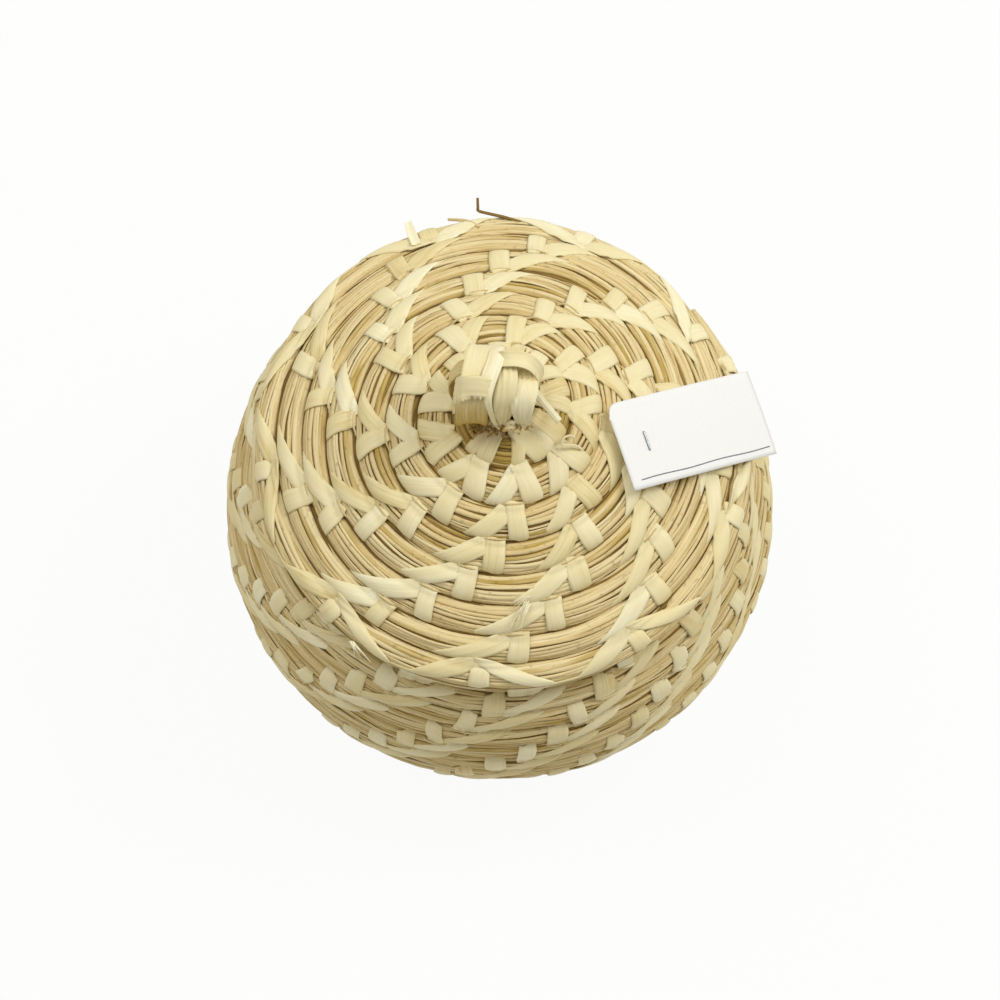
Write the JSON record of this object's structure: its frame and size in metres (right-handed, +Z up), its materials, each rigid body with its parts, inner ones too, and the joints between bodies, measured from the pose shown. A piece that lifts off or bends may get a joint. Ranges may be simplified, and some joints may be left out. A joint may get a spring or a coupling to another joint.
{
  "type": "lidded coiled basket",
  "caption": "Small round coiled grass basket with a bulging wall, a flat base, a domed lid that lifts off, a knob of folded leaf and a blank card tag.",
  "frame": {"origin": "middle of the flat base, on the surface the basket stands on", "axes": "+Z up, -Y the front"},
  "size_m": [0.1315, 0.1316, 0.123],
  "materials": {
    "grass_bundle": "bundle of dry grass stems, matt tan",
    "split_leaf": "dry split leaf, pale cream with a slight sheen along the grain",
    "card": "stiff uncoated paper card, off white, matt",
    "staple_wire": "thin bright steel wire"
  },
  "bodies": {
    "basket": {"basket_coil": "grass_bundle", "basket_splint_01": "split_leaf", "basket_splint_02": "split_leaf", "basket_splint_03": "split_leaf", "basket_splint_04": "split_leaf", "basket_splint_05": "split_leaf", "basket_splint_06": "split_leaf", "basket_splint_07": "split_leaf", "basket_splint_08": "split_leaf", "basket_splint_09": "split_leaf", "basket_splint_10": "split_leaf", "basket_splint_11": "split_leaf", "basket_splint_12": "split_leaf"},
    "lid": {"lid_coil": "grass_bundle", "lid_seat_coil": "grass_bundle", "lid_edge_lacing": "split_leaf", "lid_splint_01": "split_leaf", "lid_splint_02": "split_leaf", "lid_splint_03": "split_leaf", "lid_splint_04": "split_leaf", "lid_splint_05": "split_leaf", "lid_splint_06": "split_leaf", "knob_core": "split_leaf", "knob_left_leaf": "split_leaf", "knob_right_leaf": "split_leaf", "knob_left_band": "split_leaf", "knob_right_band": "split_leaf", "knob_front_leaf": "split_leaf", "knob_knot": "split_leaf"},
    "label": {"label_card": "card", "label_staple": "staple_wire"}
  },
  "joints": [
    {"name": "lid_lift", "type": "slide", "parent": "basket", "child": "lid", "axis": [0, 0, 1], "range_m": [0, 0.09]},
    {"name": "label_lift", "type": "hinge", "parent": "lid", "child": "label", "pos_m": [0.02522, -0.00778, 0.09885], "axis": [0.3265, -0.926, -0.1893], "range_deg": [0, 35]}
  ]
}
